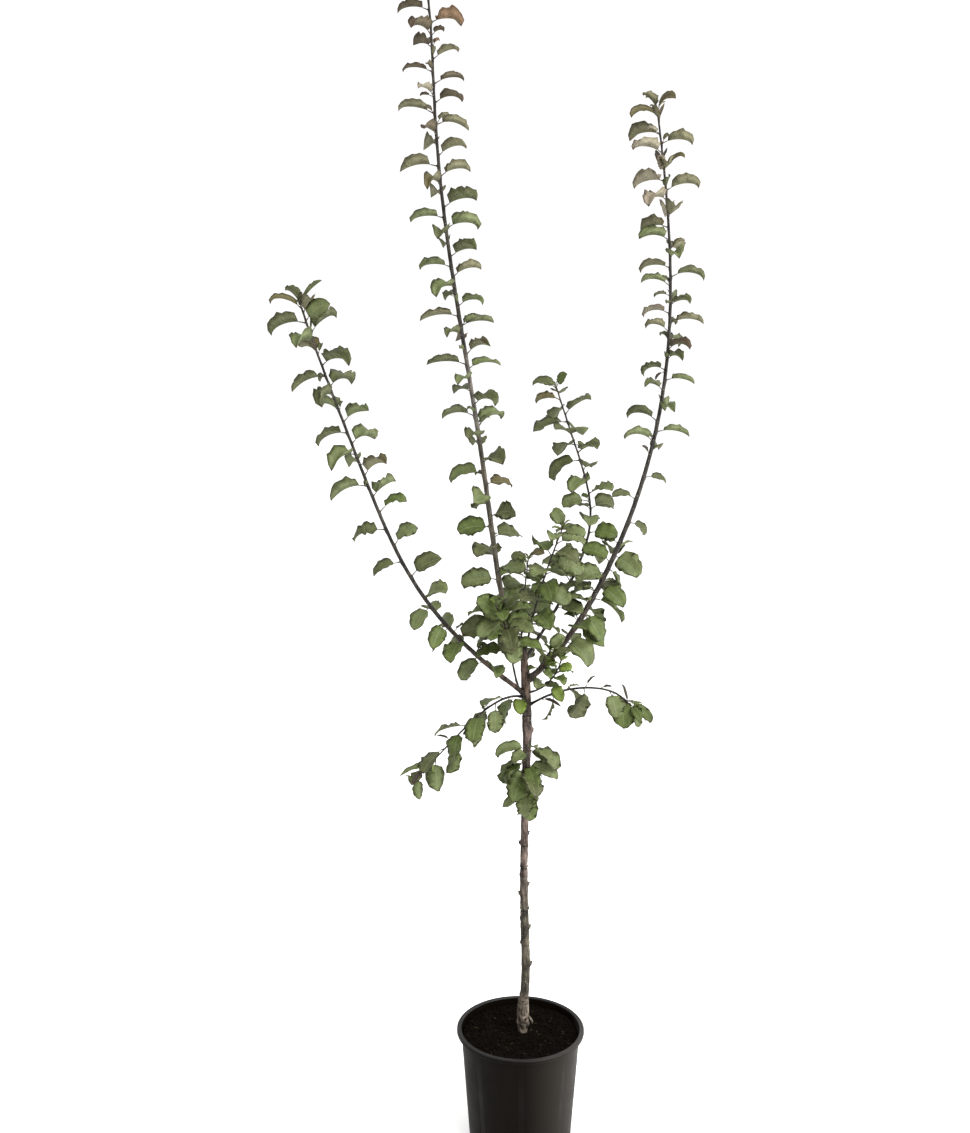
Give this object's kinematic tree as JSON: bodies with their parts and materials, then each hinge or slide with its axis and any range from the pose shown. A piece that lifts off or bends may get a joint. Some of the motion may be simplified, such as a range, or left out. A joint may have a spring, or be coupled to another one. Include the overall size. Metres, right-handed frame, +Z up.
{
  "type": "potted fruit tree",
  "caption": "Young mirabelle plum tree, a slender stem with ascending leafy shoots and drooping low twigs, rooted in compost in a round black nursery pot.",
  "frame": {"origin": "centre of the pot's flat underside, which stands on the ground", "axes": "+Z up along the stem, +X to the tree's right as pictured, -Y towards the viewer"},
  "size_m": [0.754, 0.3979, 2.0927],
  "materials": {
    "black_polypropylene": "satin",
    "compost": "matte",
    "trunk_bark": "matte",
    "young_bark": "satin",
    "leaf_low": "satin",
    "leaf_middle": "satin",
    "leaf_high": "satin"
  },
  "bodies": {
    "root": {"back_bough": "young_bark", "back_foliage": "leaf_low", "compost": "compost", "front_bough": "young_bark", "front_foliage": "leaf_low", "inner_back_bough": "young_bark", "inner_back_foliage_1": "leaf_low", "inner_back_foliage_2": "leaf_low", "inner_back_foliage_3": "leaf_low", "inner_front_bough": "young_bark", "inner_front_foliage": "leaf_low", "leader_bough": "young_bark", "leader_foliage_1": "leaf_low", "leader_foliage_2": "leaf_middle", "leader_foliage_3": "leaf_high", "leader_foliage_4": "leaf_high", "leader_foliage_5": "leaf_high", "left_bough": "young_bark", "left_foliage_1": "leaf_low", "left_foliage_2": "leaf_middle", "left_foliage_3": "leaf_high", "left_foliage_4": "leaf_high", "low_left_foliage_1": "leaf_low", "low_left_foliage_2": "leaf_low", "low_right_foliage_1": "leaf_low", "low_right_foliage_2": "leaf_low", "pot": "black_polypropylene", "right_bough": "young_bark", "right_foliage_1": "leaf_low", "right_foliage_2": "leaf_middle", "right_foliage_3": "leaf_high", "right_foliage_4": "leaf_high", "right_foliage_5": "leaf_high", "right_twig_foliage": "leaf_low", "spur_foliage": "leaf_low", "trunk": "trunk_bark", "trunk_foliage_1": "leaf_low", "trunk_foliage_2": "leaf_low"}
  },
  "joints": []
}
